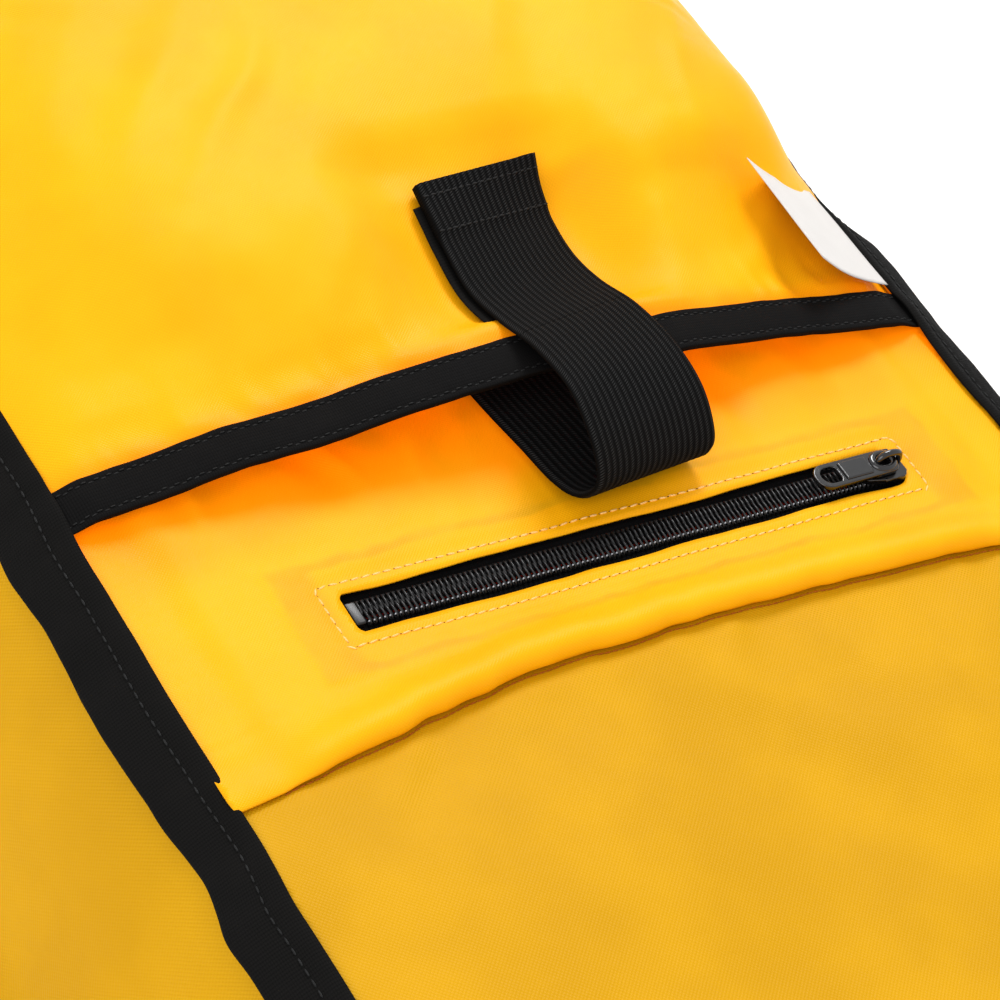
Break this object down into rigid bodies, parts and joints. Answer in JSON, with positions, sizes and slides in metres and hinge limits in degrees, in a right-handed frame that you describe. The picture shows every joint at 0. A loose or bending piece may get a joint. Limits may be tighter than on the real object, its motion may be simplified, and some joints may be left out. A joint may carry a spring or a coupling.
{
  "type": "inflatable life jacket",
  "caption": "Bib-style inflatable life jacket laid on its front, inner face up: zipped lining panel, stowage pouch with a hook-and-loop strap, waist belt, inflator and oral tube.",
  "frame": {"origin": "On the flat front face, at the centre plane, under the line of the lining zip", "axes": "+Z from the flat front face to the inner (back) face, which is up; +Y to the waist hem, -Y to the collar; +X to the side that carries the inflator"},
  "size_m": [0.4131, 0.8348, 0.1019],
  "materials": {
    "cover_fabric": "plain woven nylon, golden yellow",
    "panel_fabric": "plain woven nylon, bright yellow",
    "black_tape": "woven black tape and webbing",
    "label_fabric": "smooth white tape",
    "bladder_fabric": "coated orange fabric",
    "coil_plastic": "black nylon coil",
    "black_plastic": "moulded, fine texture",
    "red_plastic": "moulded",
    "whistle_plastic": "moulded",
    "gasket_rubber": "matt",
    "black_metal": "gloss black",
    "bright_steel": "satin",
    "reflective": "retroreflective tape"
  },
  "bodies": {
    "jacket": {"front_cover": "cover_fabric", "wall_side": "cover_fabric", "wall_neck": "cover_fabric", "lining_collar": "cover_fabric", "lining_zip_panel": "panel_fabric", "seam_roll": "panel_fabric", "pouch": "panel_fabric", "mouth_binding": "black_tape", "binding_back": "black_tape", "binding_front": "black_tape", "binding_neck_back": "black_tape", "binding_neck_front": "black_tape", "zip_tape_upper": "black_tape", "zip_tape_lower": "black_tape", "zip_coil_upper": "coil_plastic", "zip_coil_lower": "coil_plastic", "zip_stop": "black_metal", "strap_base": "black_tape", "strap_loop_patch": "black_tape", "bladder": "bladder_fabric", "inflator_body": "black_plastic", "inflator_gasket": "gasket_rubber", "lever_pin": "bright_steel", "oral_gasket": "gasket_rubber", "oral_elbow": "black_plastic", "oral_tube": "gasket_rubber", "oral_valve": "black_plastic", "whistle_holder": "black_tape", "belt_left": "black_tape", "belt_right": "black_tape", "buckle_female": "black_plastic", "ring_tab": "black_tape", "reflective_left": "reflective", "reflective_right": "reflective", "reflective_neck": "reflective", "hanger_loop": "black_tape"},
    "zip_slider": {"zip_slider": "black_metal"},
    "zip_pull": {"zip_pull": "black_metal"},
    "strap_end": {"strap_tab": "black_tape", "strap_hook_patch": "black_tape"},
    "care_label": {"care_label": "label_fabric"},
    "lever": {"inflator_lever": "red_plastic"},
    "firing_pin": {"firing_pin": "bright_steel"},
    "cylinder": {"co2_cylinder": "bright_steel"},
    "sensor_cap": {"sensor_cap": "black_plastic"},
    "oral_plunger": {"oral_plunger": "red_plastic"},
    "oral_cap": {"oral_cap": "black_plastic"},
    "whistle": {"whistle": "whistle_plastic"},
    "buckle_male": {"buckle_male": "black_plastic"},
    "adjuster": {"belt_adjuster": "black_plastic"},
    "keeper": {"belt_keeper": "black_tape"},
    "d_ring": {"d_ring": "bright_steel"}
  },
  "joints": [
    {"name": "zip_slide", "type": "slide", "parent": "jacket", "child": "zip_slider", "axis": [-1, 0, 0], "range_m": [0, 0.133]},
    {"name": "pull_hinge", "type": "hinge", "parent": "zip_slider", "child": "zip_pull", "pos_m": [0.07805, 0, 0.0811], "axis": [0, 1, 0], "range_deg": [0, 165]},
    {"name": "strap_peel", "type": "hinge", "parent": "jacket", "child": "strap_end", "pos_m": [0.016, 0.051, 0.0984], "axis": [1, 0, 0], "range_deg": [0, 75], "deforming": ["strap_tab"]},
    {"name": "label_flap", "type": "hinge", "parent": "jacket", "child": "care_label", "pos_m": [0.1145, 0.068, 0.0814], "axis": [0, 1, 0], "range_deg": [0, 80]},
    {"name": "lever_pull", "type": "hinge", "parent": "jacket", "child": "lever", "pos_m": [0.16085, -0.0024, 0.034], "axis": [1, 0, 0], "range_deg": [0, 60]},
    {"name": "pin_push", "type": "slide", "parent": "jacket", "child": "firing_pin", "axis": [0, -1, 0], "range_m": [0, 0.0071]},
    {"name": "cylinder_unscrew", "type": "hinge", "parent": "jacket", "child": "cylinder", "pos_m": [0.16085, -0.045, 0.04], "axis": [0, -1, 0], "continuous": true},
    {"name": "sensor_turn", "type": "hinge", "parent": "jacket", "child": "sensor_cap", "pos_m": [0.17285, -0.025, 0.04], "axis": [1, 0, 0], "range_deg": [0, 90]},
    {"name": "oral_valve_press", "type": "slide", "parent": "jacket", "child": "oral_plunger", "axis": [0, -1, 0], "range_m": [0, 0.003], "stiffness_N_per_m": 200},
    {"name": "oral_cap_off", "type": "slide", "parent": "jacket", "child": "oral_cap", "axis": [0, 1, 0], "range_m": [0, 0.03]},
    {"name": "whistle_out", "type": "slide", "parent": "jacket", "child": "whistle", "axis": [0, 1, 0], "range_m": [0, 0.035]},
    {"name": "buckle_release", "type": "slide", "parent": "jacket", "child": "buckle_male", "axis": [1, 0, 0], "range_m": [0, 0.03], "deforming": ["belt_right"]},
    {"name": "belt_adjust", "type": "slide", "parent": "jacket", "child": "adjuster", "axis": [-1, 0, 0], "range_m": [0, 0.022]},
    {"name": "keeper_slide", "type": "slide", "parent": "jacket", "child": "keeper", "axis": [0, 1, 0], "range_m": [0, 0.04]},
    {"name": "ring_flap", "type": "hinge", "parent": "jacket", "child": "d_ring", "pos_m": [0, 0.2866, 0.00425], "axis": [1, 0, 0], "range_deg": [0, 100]}
  ],
  "couplings": [
    {"joint": "pin_push", "follows": "lever_pull", "m_per_rad": 0.0067}
  ]
}
